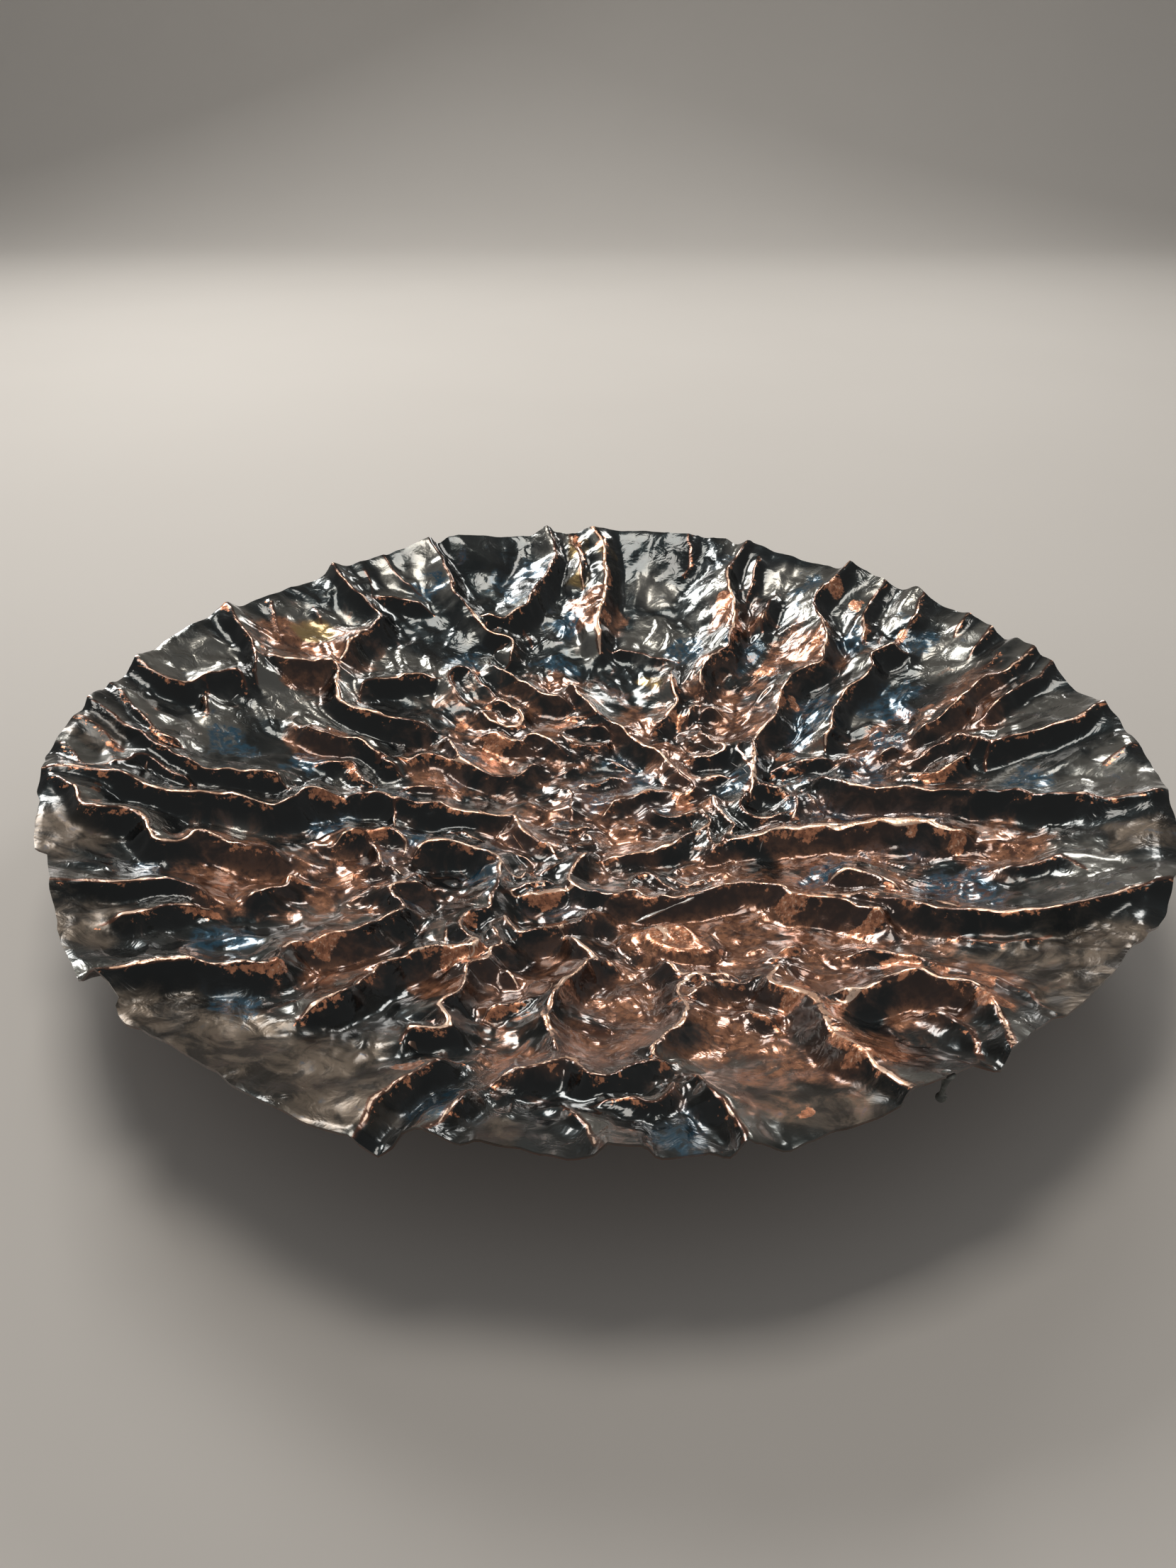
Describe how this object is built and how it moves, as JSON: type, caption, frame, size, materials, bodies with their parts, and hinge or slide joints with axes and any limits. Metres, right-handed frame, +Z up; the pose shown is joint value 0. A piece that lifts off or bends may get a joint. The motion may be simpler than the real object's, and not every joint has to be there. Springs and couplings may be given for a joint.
{
  "type": "hammered copper tray",
  "caption": "Shallow round tray of crumpled, dark-patinated copper sheet with bright fold crests and a low soldered foot ring.",
  "frame": {"origin": "centre of the tray at the height of the surface it stands on", "axes": "+Z up, out of the dish; -Y towards the viewer, with the drip at the front right edge"},
  "size_m": [0.45, 0.45, 0.0634],
  "materials": {
    "patinated_copper": "dark patina under a clear gloss coat, bare copper on the crests",
    "plain_copper": "satin",
    "solder": "dull",
    "clear_coat": "gloss"
  },
  "bodies": {
    "root": {"copper_sheet": "patinated_copper", "foot_ring": "plain_copper", "foot_solder": "solder", "lacquer_drip": "clear_coat"}
  },
  "joints": []
}
